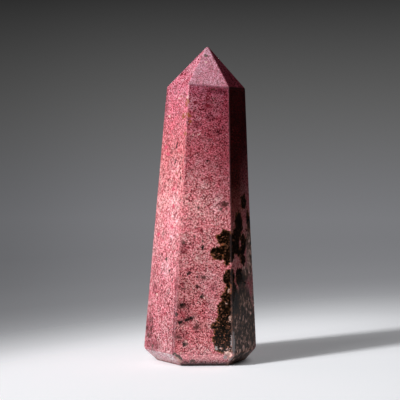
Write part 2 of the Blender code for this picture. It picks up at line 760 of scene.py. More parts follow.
# Black manganese oxide: the large patch low on the front, and its wide run over the right sides
MANGANESE = {
    Side.FRONT: (
        Spot(10.6, 60.0, 2.35, 3.1),
        Spot(7.8, 59.4, 1.4, 1.1),
        Spot(8.2, 57.5, 1.3, 1.1),
        Spot(12.1, 54.8, 2.8, 3.4),
        Spot(6.2, 52.5, 2.5, 2.5),
        Spot(7.2, 50.4, 2.0, 1.5),
        Spot(9.3, 53.5, 1.8, 2.3),
        Spot(12.1, 50.9, 2.8, 2.8),
        Spot(11.1, 48.2, 1.2, 1.9),
        Spot(13.0, 41.5, 3.3, 3.2),
        Spot(10.8, 39.6, 1.5, 1.5),
        Spot(13.2, 36.3, 2.9, 3.9),
        Spot(12.2, 32.2, 3.8, 3.2),
        Spot(11.3, 26.7, 4.7, 4.3),
        Spot(10.6, 22.1, 4.2, 3.2),
        Spot(10.6, 19.2, 5.8, 2.4),
        Spot(6.2, 18.7, 2.3, 1.4),
        Spot(10.3, 15.5, 5.2, 2.5),
        Spot(7.0, 13.4, 2.8, 1.4),
        Spot(10.3, 11.9, 5.5, 2.7),
        Spot(10.3, 9.3, 5.0, 2.4),
    ),
    Side.RIGHT: (
        Spot(-2.2, 65.5, 4.4, 5.4),
        Spot(-9.6, 57.0, 2.4, 5.2),
        Spot(-9.4, 52.0, 2.2, 2.4),
        Spot(-5.5, 57.6, 5.8, 6.3),
        Spot(-1.5, 53.8, 5.4, 4.0),
        Spot(2.4, 56.3, 3.4, 3.8),
        Spot(9.4, 67.0, 2.2, 4.6),
        Spot(1.3, 48.4, 3.4, 2.6),
        Spot(-2.6, 40.7, 4.4, 4.4),
        Spot(4.3, 75.9, 3.3, 3.6),
        Spot(-9.5, 32.4, 3.8, 6.0),
        Spot(6.2, 60.0, 1.4, 2.4),
        Spot(1.6, 38.5, 2.0, 3.0),
        Spot(-8.0, 29.0, 4.0, 6.0),
    ),
}

# Where pink stone is left standing in the black
ISLANDS = {
    Side.FRONT: (Spot(12.6, 35.7, 0.7, 2.0), Spot(7.9, 55.8, 0.35, 0.4), Spot(13.0, 23.0, 0.5, 0.8)),
    Side.RIGHT: (Spot(-1.5, 56.3, 1.2, 2.6), Spot(-5.2, 47.5, 4.8, 2.2), Spot(4.7, 62.2, 2.1, 2.6)),
}


class Mineral(Enum):
    """What the small marks are, each with its colour, in the order in which they are laid."""

    BROWN = (0.055, 0.018, 0.015)
    MAROON = (0.12, 0.010, 0.016)
    ROSE = (0.50, 0.050, 0.095)
    OCHRE = (0.24, 0.060, 0.018)
    GREY_GREEN = (0.075, 0.042, 0.035)
    DARK_GREEN = (0.060, 0.062, 0.048)
    # The grey is chips at the foot and, low on the right facet by its left edge, a painted sheen.
    GREY_AND_SHEEN = (0.30, 0.26, 0.26)
    SAND = (0.46, 0.28, 0.23)
    CREAM = (0.58, 0.35, 0.32)
    CHALK = (0.86, 0.55, 0.48)
    BLACK = (0.007, 0.003, 0.002)


# How soft the outlines of some marks are, in millimetres; the others are crisper
SOFTNESS = {Mineral.BROWN: 0.5, Mineral.ROSE: 0.3}

MARKS = {
    Mineral.BLACK: {
        Side.FRONT: (
            Spot(-6.3, 43.2, 0.8, 0.85),
            Spot(-2.9, 41.5, 0.4, 0.6),
            Spot(-9.6, 28.6, 1.1, 0.5),
            Spot(-12.2, 24.3, 0.8, 0.75),
            Spot(-5.7, 22.7, 0.9, 0.55),
            Spot(-7.3, 21.8, 0.8, 0.55),
            Spot(-10.3, 20.7, 1.1, 0.6),
            Spot(-2.7, 37.0, 0.45, 0.4),
            Spot(-0.6, 32.3, 0.35, 0.5),
            Spot(-8.9, 10.7, 0.45, 0.8),
            Spot(0.0, 55.1, 0.35, 0.8, -15.0),
            Spot(2.5, 94.9, 0.55, 0.35),
        ),
        Side.LEFT: (
            Spot(4.3, 102.4, 0.45, 0.85, -18.0),
            Spot(5.0, 43.7, 0.5, 0.45),
            Spot(-12.2, 15.6, 0.5, 0.5),
        ),
    },
    Mineral.BROWN: {
        Side.FRONT: (
            Spot(0.5, 41.1, 1.1, 0.8),
            Spot(-2.5, 37.0, 0.8, 0.6),
            Spot(-9.1, 36.1, 0.8, 0.5),
            Spot(-9.6, 28.2, 1.5, 0.9),
            Spot(-6.6, 22.2, 1.9, 0.8, 20.0),
            Spot(-10.3, 20.7, 1.3, 0.8),
            Spot(-3.2, 18.4, 1.1, 0.7),
            Spot(-11.2, 14.1, 1.2, 0.7),
            Spot(10.3, 74.8, 1.5, 1.1),
            Spot(5.2, 127.7, 0.6, 0.5),
            Spot(3.5, 104.4, 0.4, 0.4),
            Spot(3.8, 57.0, 0.3, 0.3),
        ),
        Side.LEFT: (Spot(-7.8, 15.6, 0.6, 0.9), Spot(-12.0, 15.6, 0.6, 0.6)),
    },
    Mineral.MAROON: {
        Side.FRONT: (
            Spot(-8.9, 38.2, 0.45, 0.7),
            Spot(-2.7, 16.5, 0.6, 0.45),
            Spot(-10.4, 17.0, 0.5, 0.45),
            Spot(-11.4, 11.8, 0.5, 0.45),
            Spot(-4.6, 45.5, 0.5, 0.4),
            Spot(1.0, 44.2, 0.5, 0.4),
            Spot(-5.5, 56.2, 0.75, 0.3, -20.0),
            Spot(-0.6, 62.7, 0.7, 0.9),
            Spot(-5.4, 67.7, 0.6, 0.5),
            Spot(-5.6, 76.5, 0.65, 0.3),
            Spot(-7.7, 87.5, 0.4, 0.4),
            Spot(2.3, 87.1, 0.6, 0.4),
            Spot(3.9, 79.0, 0.4, 0.6),
            Spot(2.4, 120.4, 0.9, 0.6),
            Spot(2.6, 123.5, 0.6, 0.5),
            Spot(2.4, 125.1, 0.45, 0.5),
            Spot(-3.4, 121.6, 0.6, 0.55),
            Spot(-9.0, 52.5, 0.8, 0.6),
        ),
        Side.LEFT: (
            Spot(6.0, 28.5, 0.6, 0.4),
            Spot(7.9, 31.2, 0.6, 0.4),
            Spot(12.0, 15.6, 0.6, 0.45),
            Spot(-7.1, 35.9, 0.5, 0.7),
        ),
    },
    Mineral.ROSE: {
        Side.LEFT: (
            Spot(4.8, 73.9, 0.9, 0.9),
            Spot(5.1, 64.1, 1.0, 0.7),
            Spot(-5.6, 101.5, 1.2, 0.9),
            Spot(-3.0, 98.5, 1.1, 0.7),
            Spot(-7.0, 60.5, 1.0, 0.8),
            Spot(3.6, 82.0, 0.8, 0.5),
        ),
    },
    Mineral.GREY_GREEN: {
        Side.FRONT: (
            Spot(-0.6, 32.5, 0.75, 0.75),
            Spot(-8.9, 57.2, 0.6, 0.5),
            Spot(-3.7, 59.7, 0.3, 0.5),
            Spot(-0.1, 57.8, 0.4, 0.5),
            Spot(0.0, 55.1, 0.6, 1.1, -15.0),
            Spot(-2.1, 73.2, 0.6, 0.45),
            Spot(8.5, 72.5, 0.6, 0.5),
            Spot(-8.0, 10.9, 1.0, 0.9),
        ),
        Side.LEFT: (
            Spot(3.5, 94.7, 0.6, 0.6),
            Spot(-2.9, 61.6, 0.4, 1.1),
            Spot(1.6, 49.1, 0.9, 0.8, -40.0),
            Spot(-10.2, 12.5, 0.6, 0.9),
            Spot(-5.8, 7.8, 0.5, 0.9),
        ),
    },
    Mineral.OCHRE: {
        Side.LEFT: (
            Spot(11.1, 122.4, 1.0, 0.9),
            Spot(10.3, 121.4, 0.5, 0.4),
            Spot(5.7, 125.0, 0.7, 0.4),
            Spot(8.0, 115.5, 0.6, 0.8),
            Spot(11.0, 107.2, 0.7, 0.6),
            Spot(5.5, 89.2, 0.6, 0.4),
        ),
        Side.FRONT: (Spot(-6.7, 116.0, 0.6, 0.6),),
    },
    Mineral.SAND: {
        Side.FRONT: (
            Spot(12.5, 22.2, 0.35, 0.8),
            Spot(11.9, 35.1, 0.3, 0.6),
            Spot(10.8, 29.1, 0.25, 0.25),
        ),
    },
    # Painted sheen low on the right facet, beside its left edge
    Mineral.GREY_AND_SHEEN: {Side.RIGHT: (Spot(-12.1, 11.0, 1.5, 4.6),)},
    Mineral.CREAM: {
        Side.FRONT: (
            Spot(-7.6, 12.0, 0.5, 0.45),
            Spot(-6.5, 75.1, 0.4, 0.35),
            Spot(-4.4, 106.7, 0.3, 0.3),
            Spot(-1.6, 106.9, 0.3, 0.3),
            Spot(11.4, 8.5, 0.7, 0.2, -10.0),
            Spot(8.2, 9.0, 0.2, 0.4),
            Spot(5.9, 77.0, 0.5, 0.4),
            Spot(-2.6, 50.0, 0.35, 0.4),
        ),
        Side.LEFT: (
            Spot(6.6, 65.1, 0.6, 0.45),
            Spot(-5.0, 32.1, 0.7, 0.6),
            Spot(-4.1, 116.5, 0.6, 0.5),
            Spot(9.6, 116.4, 0.5, 0.4),
            Spot(3.4, 124.2, 0.6, 0.5),
            Spot(10.6, 124.4, 0.5, 0.3),
        ),
    },
}

# The same on the small facets: on the tip, and where the foot is chipped
BLOTS = {
    Mineral.MAROON: (Blot(-9.1, -2.3, 136.5, 1.0), Blot(-7.4, -5.0, 136.4, 0.7)),
    Mineral.GREY_GREEN: (
        Blot(2.6, -4.2, 145.2, 0.8),
        Blot(4.6, -9.3, 138.4, 0.35),
        Blot(-3.7, -20.2, 2.7, 1.1),
    ),
    Mineral.OCHRE: (
        Blot(-6.1, -16.6, 122.9, 0.55),
        Blot(-6.8, -16.3, 121.8, 0.45),
        Blot(-5.7, -16.9, 121.6, 0.45),
        Blot(-6.4, -16.5, 120.7, 0.55),
        Blot(-8.0, -15.0, 116.6, 0.6),
        Blot(-7.0, -16.2, 115.4, 0.55),
        Blot(-5.9, -17.1, 116.6, 0.5),
        Blot(-5.1, -17.3, 115.6, 0.5),
        Blot(-4.9, -17.4, 113.0, 0.5),
        Blot(-7.1, -17.4, 107.3, 0.65),
    ),
    Mineral.DARK_GREEN: (
        Blot(-11.9, -23.0, 6.0, 0.7),
        Blot(-11.1, -22.8, 5.5, 0.8),
        Blot(-10.3, -22.4, 4.9, 0.9),
        Blot(-9.5, -21.8, 4.2, 0.8),
        Blot(-8.7, -21.2, 3.5, 0.6),
    ),
    Mineral.GREY_AND_SHEEN: (Blot(11.2, -21.2, 4.5, 1.0), Blot(14.0, -19.7, 3.5, 0.9), Blot(7.3, -22.6, 9.0, 0.65)),
    Mineral.SAND: (
        Blot(-10.9, -21.8, 4.3, 0.5),
        Blot(-10.3, -21.3, 3.7, 0.5),
        Blot(-9.7, -20.7, 3.0, 0.5),
        Blot(-9.2, -20.1, 2.4, 0.5),
        Blot(13.0, -21.0, 4.2, 0.6),
        Blot(18.3, -15.0, 6.5, 0.9),
        Blot(20.3, -11.0, 6.8, 0.9),
        Blot(21.4, -8.3, 6.4, 0.8),
        Blot(22.5, -5.8, 5.1, 0.9),
        Blot(24.5, -2.4, 6.1, 0.9),
    ),
    Mineral.CHALK: (Blot(12.5, -21.9, 6.5, 1.0), Blot(13.5, -21.2, 5.8, 0.9), Blot(14.7, -20.5, 5.6, 0.6)),
    Mineral.CREAM: (
        Blot(2.5, -6.8, 141.9, 0.4),
        Blot(11.4, -22.3, 6.5, 0.6),
    ),
}

# Broad stains that darken the pink, and broad pale clouds in it
STAINS = {
    Side.FRONT: (
        Spot(-8.6, 27.0, 3.2, 4.4),
        Spot(-8.0, 21.5, 4.6, 2.2, 12.0),
        Spot(-9.6, 14.5, 3.4, 3.0),
        Spot(-3.0, 18.5, 1.7, 2.6),
        Spot(10.0, 74.5, 2.2, 1.9),
        Spot(3.1, 115.5, 2.6, 2.0),
        Spot(6.8, 108.0, 2.2, 1.1, 15.0),
        Spot(3.0, 106.6, 1.6, 0.9),
        Spot(-2.5, 111.6, 2.0, 2.0),
        Spot(2.3, 121.4, 2.0, 2.6),
        Spot(6.0, 127.3, 4.6, 1.8),
        Spot(-0.6, 32.5, 1.4, 1.3),
        Spot(5.0, 36.5, 1.4, 1.6),
        Spot(-9.0, 55.0, 2.2, 3.0),
    ),
    Side.RIGHT: (Spot(8.0, 92.0, 4.5, 27.0),),
    Side.LEFT: (
        Spot(-8.4, 122.0, 2.6, 8.0),
        Spot(-9.5, 16.0, 4.0, 7.0),
        Spot(-6.0, 8.5, 7.0, 3.0),
        Spot(-7.0, 35.0, 2.0, 3.0),
    ),
}
BLUSHES = (
    Blot(-8.6, -1.2, 138.2, 1.8),
    Blot(-4.2, -1.0, 143.0, 1.9),
    Blot(-0.8, -0.8, 146.4, 1.4),
)
CLOUDS = {
    Side.FRONT: (
        Spot(6.2, 75.0, 2.2, 4.4),
        Spot(3.0, 38.0, 5.0, 6.5),
        Spot(4.4, 26.0, 3.0, 9.0),
        Spot(-2.0, 8.5, 6.0, 2.0),
    ),
    Side.LEFT: (Spot(5.0, 70.0, 5.5, 13.0), Spot(1.0, 44.0, 4.0, 5.0), Spot(3.0, 92.0, 4.0, 5.0)),
}

# Where fine black grains lie thick in the pink
PEPPERED = {
    Side.RIGHT: (Spot(0.0, 15.0, 13.0, 23.5), Spot(9.5, 52.0, 4.0, 15.0), Spot(4.5, 42.0, 5.0, 4.0)),
    Side.RIGHT_BACK: (Spot(-9.0, 18.0, 6.0, 24.0),),
}


class FacetShade(NamedTuple):
    """Painted light and shade: how deep or pale one facet is beside the rest, at some heights in
    millimetres.
    """

    kind: Kind
    side: Side
    stops: Stops


# The average pink by height in millimetres. It holds painted light and shade: the darkening in the lowest
# few millimetres is a painted contact shadow at the foot, and the change with height is partly painted
# light.
HEIGHT_COLOURS_AND_SHADE = (
    (0.0, (0.090, 0.034, 0.034)),
    (0.8, (0.130, 0.047, 0.050)),
    (2.4, (0.240, 0.086, 0.095)),
    (4.4, (0.360, 0.125, 0.142)),
    (14.0, (0.360, 0.125, 0.142)),
    (32.0, (0.394, 0.118, 0.138)),
    (55.0, (0.47, 0.150, 0.170)),
    (77.0, (0.52, 0.170, 0.182)),
    (98.0, (0.440, 0.108, 0.119)),
    (118.0, (0.432, 0.087, 0.119)),
    (132.0, (0.470, 0.130, 0.172)),
    (150.0, (0.475, 0.165, 0.215)),
)

# Each facet drawn deeper or paler than the rest by height: painted light and shade, set by how the light
# falls on it.
FACET_SHADES = (
    FacetShade(
        Kind.LONG,
        Side.FRONT,
        (
            (0.0, (1.16, 1.01, 0.95)),
            (14.0, (1.16, 1.01, 0.95)),
            (35.0, (0.90, 0.90, 0.82)),
            (72.0, (0.96, 1.02, 1.00)),
            (95.0, (0.68, 0.63, 0.71)),
            (122.0, (0.60, 0.62, 0.62)),
            (127.0, (0.53, 0.44, 0.50)),
            (130.0, (0.51, 0.40, 0.47)),
        ),
    ),
    # The right facet's upper part is drawn down to near black: painted shade.
    FacetShade(
        Kind.LONG,
        Side.RIGHT,
        (
            (0.0, (1.10, 1.10, 1.00)),
            (56.0, (1.10, 1.10, 1.00)),
            (72.0, (0.48, 0.34, 0.28)),
            (84.0, (0.15, 0.06, 0.045)),
            (98.0, (0.14, 0.045, 0.04)),
            (130.0, (0.15, 0.05, 0.04)),
        ),
    ),
    FacetShade(
        Kind.LONG,
        Side.LEFT,
        (
            (0.0, (1.0, 1.0, 1.0)),
            (123.0, (1.0, 1.0, 1.0)),
            (128.0, (0.92, 0.82, 0.86)),
            (131.0, (0.88, 0.74, 0.80)),
        ),
    ),
    FacetShade(
        Kind.LONG,
        Side.RIGHT_BACK,
        (
            (0.0, (1.0, 1.0, 1.0)),
            (60.0, (1.0, 1.0, 1.0)),
            (85.0, (0.62, 0.50, 0.50)),
            (130.0, (0.50, 0.38, 0.42)),
        ),
    ),
    # The tip's front facet is paler and greyer, a painted sheen; its right facet is deeper, painted shade.
    FacetShade(Kind.TIP, Side.FRONT, ((0.0, (0.76, 0.89, 0.93)), (150.0, (0.76, 0.89, 0.93)))),
    FacetShade(Kind.TIP, Side.LEFT, ((0.0, (1.00, 1.05, 1.04)), (150.0, (1.00, 1.05, 1.04)))),
    FacetShade(Kind.TIP, Side.RIGHT, ((0.0, (0.52, 0.22, 0.29)), (150.0, (0.52, 0.22, 0.29)))),
    # The chamfers' darkest bottoms are a painted contact shadow; the front one's upper part and the whole
    # left one are paler and greyer, painted light and sheen from the floor.
    FacetShade(
        Kind.CHAMFER,
        Side.FRONT,
        (
            (0.0, (0.06, 0.02, 0.02)),
            (0.9, (0.10, 0.04, 0.04)),
            (1.4, (0.70, 0.64, 0.64)),
            (2.4, (1.30, 1.28, 1.28)),
            (5.0, (2.1, 2.2, 2.1)),
        ),
    ),
    FacetShade(Kind.CHAMFER, Side.RIGHT, ((0.0, (0.1, 0.1, 0.1)), (1.0, (0.2, 0.2, 0.2)), (2.5, (1.0, 1.0, 1.0)))),
    FacetShade(
        Kind.CHAMFER,
        Side.LEFT,
        ((0.0, (2.0, 2.6, 2.5)), (1.5, (1.9, 2.6, 2.5)), (3.2, (1.20, 1.9, 1.8)), (6.0, (1.00, 1.56, 1.50))),
    ),
)


# How deep or pale a grain is, from the rare dark ones to the rare pale ones
GRAIN_TONES = (
    (0.0, (0.12, 0.02, 0.035)),
    (0.2, (0.49, 0.19, 0.23)),
    (0.4, (0.85, 0.64, 0.665)),
    (0.5, (1.02, 0.95, 0.96)),
    (0.7, (1.30, 1.56, 1.50)),
    (1.0, (1.80, 2.60, 2.55)),
)
# The colours where fine black grains lie thick in the pink
PEPPER_TONES = (
    (0.0, (0.006, 0.002, 0.001)),
    (0.40, (0.012, 0.005, 0.003)),
    (0.54, (0.070, 0.033, 0.019)),
    (0.66, (0.20, 0.106, 0.080)),
    (0.80, (0.50, 0.30, 0.25)),
    (1.0, (1.0, 0.64, 0.58)),
)
# How the front changes from left to right above its middle, by millimetres from its middle line:
# partly the stone's own colour and partly painted light and shade, paler towards the light
ACROSS_COLOUR_AND_SHADE = (
    (-11.0, (1.24, 1.34, 1.30)),
    (-6.0, (1.15, 1.24, 1.20)),
    (-1.0, (1.04, 1.10, 1.08)),
    (2.5, (0.97, 0.97, 0.97)),
    (5.5, (0.88, 0.84, 0.85)),
    (8.5, (0.76, 0.68, 0.71)),
    (12.0, (0.70, 0.57, 0.62)),
)
# Painted shade along the front's left edge: how much deeper the pink is drawn there, by height in
# millimetres
LEFT_EDGE_SHADE = (
    (0.0, (0.58, 0.50, 0.52)),
    (30.0, (0.58, 0.50, 0.52)),
    (45.0, (0.76, 0.66, 0.68)),
    (70.0, (0.90, 0.76, 0.78)),
    (100.0, (0.90, 0.72, 0.76)),
    (130.0, (0.96, 0.84, 0.88)),
)


@dataclass(frozen=True)
class RhodoniteFinish:
    """Polished rhodonite: pink grain with black manganese oxide and small specks of other minerals.

    Lengths are in millimetres. A band is where something begins and where it is full. A swirl is
    the size of the lumps in which a place is moved about, and twice the furthest that it moves. A
    cloud is the size of its lumps, its detail and, in some, its roughness. Of the colours, a
    change multiplies the pink, a lift is added to it, and any other is laid over it.
    """

    facets: list[Facet]
    top: float = 150.0
    refraction: float = 1.42

    # A facet, by how far outside its plane a place is
    on_facet: Band = (-0.4, -0.06)
    # The change across the front: the heights where it sets in, and the width that it is spread over
    across_heights: Band = (60.0, 80.0)
    across_width: float = 30.0
    # The painted shade along the front's left edge, by how much higher over the front's plane than over the
    # left one's a place is; its lower part starts further round on the left
    line_from_left: Band = (-1.3, -0.3)
    line_from_front: Band = (1.5, 0.4)
    line_depth: Band = (-0.9, -0.7)
    line_low_heights: Band = (55.0, 35.0)
    line_low_shift: float = 0.6

    # Grains, and clumps of them, whose size is given in grains
    grain_size: float = 0.37
    grain_stretch: Triple = (1.12, 1.12, 0.66)
    grain_strength: float = 1.04
    grain_bias: float = 0.06
    clump_size: float = 2.6
    clump_swirl: Band = (1.2, 0.9)
    clump_strength: float = 0.08
    drift_cloud: Band = (4.0, 3.0)
    drift_strength: float = 0.3
    grain_hue: float = 0.65
    clump_hue: float = 0.35
    hue_cloud: Band = (6.0, 2.0)
    hue_drift: float = 1.2
    crimson_change: Triple = (1.12, 0.72, 0.83)
    salmon_change: Triple = (0.90, 1.24, 1.14)

    # Flecks: their reach in spacings, and which of the cells hold one, by the cells' random numbers
    fleck_spacing: float = 1.5
    fleck_swirl: Band = (0.7, 0.5)
    fleck_reach: Band = (0.36, 0.24)
    deep_flecks: Band = (0.84, 0.88)
    pale_flecks: Band = (0.08, 0.05)
    deep_fleck_change: Triple = (0.50, 0.34, 0.38)
    pale_fleck_change: Triple = (1.20, 1.60, 1.50)
    pale_fleck_lift: Triple = (0.03, 0.03, 0.025)

    # Stains, blushes and clouds, and the painted sheen laid over the front chamfer's upper part and the
    # front tip facet
    stain_swirl: Band = (2.2, 2.4)
    stain_rim: Band = (0.7, -0.9)
    blush_rim: Band = (1.0, -1.0)
    cloud_rim: Band = (1.5, -1.5)
    stain_change: Triple = (0.66, 0.58, 0.60)
    cloud_change: Triple = (1.05, 1.14, 1.15)
    cloud_lift: Triple = (0.01, 0.012, 0.014)
    foot_sheen: Triple = (0.66, 0.25, 0.265)
    foot_sheen_share: float = 0.45
    foot_sheen_heights: Band = (2.4, 4.0)
    tip_sheen: Triple = (0.38, 0.150, 0.192)
    tip_sheen_share: float = 0.25

    # Fine black grains, which are drawn out along the stone
    mottling_swirl: Band = (3.0, 4.0)
    mottling_rim: Band = (1.5, -2.0)
    pepper_swirl: Band = (1.5, 1.2)
    pepper_stretch: Triple = (1.0, 1.0, 0.6)
    pepper_size: float = 0.7
    pepper_grain_stretch: Triple = (0.7, 0.7, 1.0)
    pepper_grain_strength: float = 0.4
    pepper_cloud: Triple = (2.0, 3.0, 0.6)
    pepper_cloud_strength: float = 1.3
    pepper_bias: float = 0.35
    pepper_darker_heights: Band = (27.0, 36.0)
    pepper_darker: float = 0.1
    pepper_paler_heights: Band = (38.0, 43.0)
    pepper_paler: float = 0.2

    # The outline of the manganese: the patch on the front, its run on the right, its growth behind
    patch_swirls: tuple[Band, ...] = ((2.8, 1.7), (1.2, 1.2), (0.6, 0.6))
    run_swirls: tuple[Band, ...] = ((4.0, 4.0), (1.8, 2.6))
    growth_swirl: Band = (4.0, 4.0)
    growth_cloud: Triple = (17.0, 4.0, 0.62)
    growth_level: float = 0.585
    growth_steepness: float = 34.0
    growth_depths: Band = (2.0, 9.0)
    growth_retreat: float = 20.0
    outline_cell: float = 0.7
    outline_tearing: float = 0.45
    outline_bias: float = 0.3

    # The inside of the manganese and its rusty rim
    black: Triple = (0.0035, 0.0015, 0.0005)
    sooty: Triple = (0.022, 0.009, 0.004)
    brown: Triple = (0.075, 0.030, 0.017)
    rust: Triple = (0.21, 0.068, 0.022)
    bronze: Triple = (0.24, 0.088, 0.055)
    inner_cell: float = 0.6
    inner_strength: float = 0.9
    inner_cloud: Band = (1.6, 2.0)
    inner_drift: float = 0.35
    inner_bias: float = 0.03
    inner_low_heights: Band = (27.0, 20.0)
    inner_low: float = 0.06
    rust_band: Band = (0.35, 0.8)
    rim_band: Band = (-0.6, -0.15)
    patch_band: Band = (0.1, -0.1)

    # The small marks
    mark_swirls: tuple[Band, ...] = ((1.1, 0.7), (0.45, 0.45))
    mark_cell: float = 0.5
    mark_tearing: float = 0.7
    mark_bias: float = 0.12
    mark_softness: float = 0.15
    mark_strength: float = 0.92

    # Paled edges, partly grain rubbed by polishing and partly a painted highlight, and a painted sheen line
    # low on the front's right edge, by how far under the plane of the next facet a place is
    rounded_band: Band = (-0.9, -0.3)
    rounded_heights: Band = (131.0, 127.0)
    edge_patch_cloud: Band = (1.6, 2.0)
    edge_patch_band: Band = (0.3, 0.7)
    pale_edge_share: float = 0.14
    pale_edge_change: float = 0.6
    pale_edge_lift: Triple = (0.27, 0.10, 0.11)
    sheen_line: Triple = (0.30, 0.17, 0.13)
    sheen_line_band: Band = (-0.45, -0.15)
    sheen_line_heights: Band = (32.0, 24.0)
    sheen_line_across: Band = (8.0, 11.0)
    sheen_line_share: float = 0.2
    sheen_line_patch_share: float = 0.7

    # Roughness: that of the polish, and what is added to it or, in the black, taken from it
    polish: float = 0.14
    polish_lump: float = 1.2
    polish_change: float = 0.12
    rounded_roughness: float = 0.3
    edge_band: Band = (-0.45, -0.12)
    edge_roughness: float = 0.25
    black_band: Band = (0.1, -0.2)
    black_gloss: float = 0.06
    mottled_roughness: float = 0.3
    foot_heights: Band = (1.6, 0.7)
    foot_roughness: float = 0.45

    def make(self) -> bpy.types.Material:
        """Make the material.

        Returns:
            The material, whose patterns lie on Object coordinates.
        """
        colour = self._toned_and_shaded() * self._grain()
        colour = self._flecked(colour)
        colour = self._clouded(colour)
        colour = self._peppered(colour)
        colour = self._with_manganese(colour)
        colour = self._marked(colour)
        colour = self._paled_edges(colour)
        shader = self.board.wire(
            "ShaderNodeBsdfPrincipled",
            None,
            {"Base Color": colour, "Roughness": self._roughness(), "IOR": self.refraction},
        )
        self.board.node("ShaderNodeOutputMaterial", None, {"Surface": shader})
        return self.material

    @cached_property
    def material(self) -> bpy.types.Material:
        """Give the material, whose nodes the board makes."""
        material = bpy.data.materials.new("polished_rhodonite")
        material.use_nodes = True
        return material

    @cached_property
    def board(self) -> Board:
        """Give the board that the material's nodes are made on."""
        return Board(self.material.node_tree)

    @cached_property
    def place(self) -> Wire:
        """Give the place on the stone, in millimetres."""
        return self.board.wire("ShaderNodeTexCoord", output="Object") * MM_PER_METRE

    @cached_property
    def edge(self) -> Wire:
        """Give how far a place on the stone is under the plane of the facet next to its own.

        Returns:
            The distance in millimetres: 0 or a little less on an edge, and further below 0 away from it.
        """
        first = self._above(self.facets[0])
        second = None
        for facet in self.facets[1:]:
            above = self._above(facet)
            under = self.board.least(first, above)
            second = under if second is None else self.board.most(second, under)
            first = self.board.most(first, above)
        return second

    @cached_property
    def mottling(self) -> Wire:
        """Give 1 where fine dark grains lie thick in the stone and 0 elsewhere."""
        ragged = self.board.swirl(self.place, self.mottling_swirl)
        return self.board.ease(self._nearest(ragged, PEPPERED), *self.mottling_rim)

    @cached_property
    def manganese(self) -> Wire:
        """Give how far outside the black manganese a place is.

        Returns:
            The distance in millimetres, less than 0 inside.
        """
        board = self.board
        ragged = board.swirl(self.place, *self.patch_swirls)
        torn = board.swirl(ragged, *self.run_swirls)
        _, cell = board.cells(ragged, self.outline_cell)
        lumps = board.cloud(board.swirl(self.place, self.growth_swirl), *self.growth_cloud)
        behind = board.ease(board.part(self.place, "Y"), *self.growth_depths)
        grown = (self.growth_level - lumps) * self.growth_steepness + (1.0 - behind) * self.growth_retreat
        front = self._nearest(ragged, {Side.FRONT: MANGANESE[Side.FRONT]})
        right = self._nearest(torn, {Side.RIGHT: MANGANESE[Side.RIGHT]})
        depth = board.least(board.least(front, right), grown)
        depth = board.most(depth, self._nearest(ragged, ISLANDS) * -1.0)
        return depth + (board.part(cell, "Z") - HALF) * self.outline_tearing - self.outline_bias

    def _above(self, facet: Facet) -> Wire:
        """Give how far a place is outside the plane of a facet, in millimetres."""
        return self.board.dot(self.place, facet.normal) - facet.distance * MM_PER_METRE

    def _on(self, kind: Kind, side: Side) -> Wire:
        """Give 1 on one facet and 0 on the others."""
        return self.board.ease(self._above(facing(self.facets, kind, side)), *self.on_facet)

    def _climb(self, heights: Band) -> Wire:
        """Go smoothly from 0 to 1 between two heights."""
        return self.board.ease(self.board.part(self.place, "Z"), *heights)

    def _by_height(self, stops: Stops) -> Wire:
        """Look a colour up by height, in stops of up to BRIGHTEST."""
        scaled = [(height / self.top, colour) for height, colour in stops]
        return self.board.factors(self.board.part(self.place, "Z") / self.top, scaled)

    def _toned_and_shaded(self) -> Wire:
        """Give the stone's average pink, which changes with height and from facet to facet: painted light
        and shade.

        Returns:
            The pink, without its grain.
        """
        colour = self._by_height(HEIGHT_COLOURS_AND_SHADE)
        for tone in FACET_SHADES:
            here = self._on(tone.kind, tone.side)
            colour = self.board.mix(here, colour, colour * self._by_height(tone.stops))
        return self._left_edge_shaded(self._graded_and_shaded(colour))

    def _graded_and_shaded(self, colour: Wire) -> Wire:
        """Pale the front's left side and deepen its right side, above its middle: partly the stone's own
        colour, partly painted light and shade.

        Args:
            colour: The pink.

        Returns:
            The pink, changed on the front.
        """
        front = facing(self.facets, Kind.LONG, Side.FRONT)
        across = self.board.dot(self.place, front.rightward)
        stops = [(at / self.across_width + HALF, change) for at, change in ACROSS_COLOUR_AND_SHADE]
        factor = self.board.factors(across / self.across_width + HALF, stops)
        here = self._on(Kind.LONG, Side.FRONT) * self._climb(self.across_heights)
        return self.board.mix(here, colour, colour * factor)

    def _left_edge_shaded(self, colour: Wire) -> Wire:
        """Paint shade along the front's left edge, by deepening the pink there.

        Args:
            colour: The pink.

        Returns:
            The pink, changed along that edge.
        """
        board = self.board
        front = self._above(facing(self.facets, Kind.LONG, Side.FRONT))
        left = self._above(facing(self.facets, Kind.LONG, Side.LEFT))
        past = front - left
        low = self._climb(self.line_low_heights)
        here = board.ease(past + low * self.line_low_shift, *self.line_from_left)
        here = here * board.ease(past, *self.line_from_front)
        here = here * board.ease(board.most(front, left), *self.line_depth)
        return board.mix(here, colour, colour * self._by_height(LEFT_EDGE_SHADE))

    def _grain(self) -> Wire:
        """Give how much brighter or deeper than the average each grain is.

        Returns:
            A factor for the pink. On the left facet the grain is drawn out upwards.
        """
        board, place = self.board, self.place
        left = self._on(Kind.LONG, Side.LEFT)
        _, level = board.cells(place, self.grain_size)
        _, upright = board.cells(place * self.grain_stretch, self.grain_size)
        cell = board.mix(left, level, upright)
        _, clump = board.cells(board.swirl(place, self.clump_swirl), self.grain_size * self.clump_size)
        tone = board.part(cell, "X") * self.grain_strength + board.part(clump, "Y") * self.clump_strength
        tone = tone - self.grain_bias
        tone = tone + (board.cloud(place, *self.drift_cloud) - HALF) * self.drift_strength
        depth = board.factors(tone, GRAIN_TONES)
        hue = board.part(clump, "Z") * self.clump_hue + board.part(cell, "Y") * self.grain_hue
        hue = hue + (board.cloud(place, *self.hue_cloud) - HALF) * self.hue_drift
        return depth * board.mix(hue, self.crimson_change, self.salmon_change)

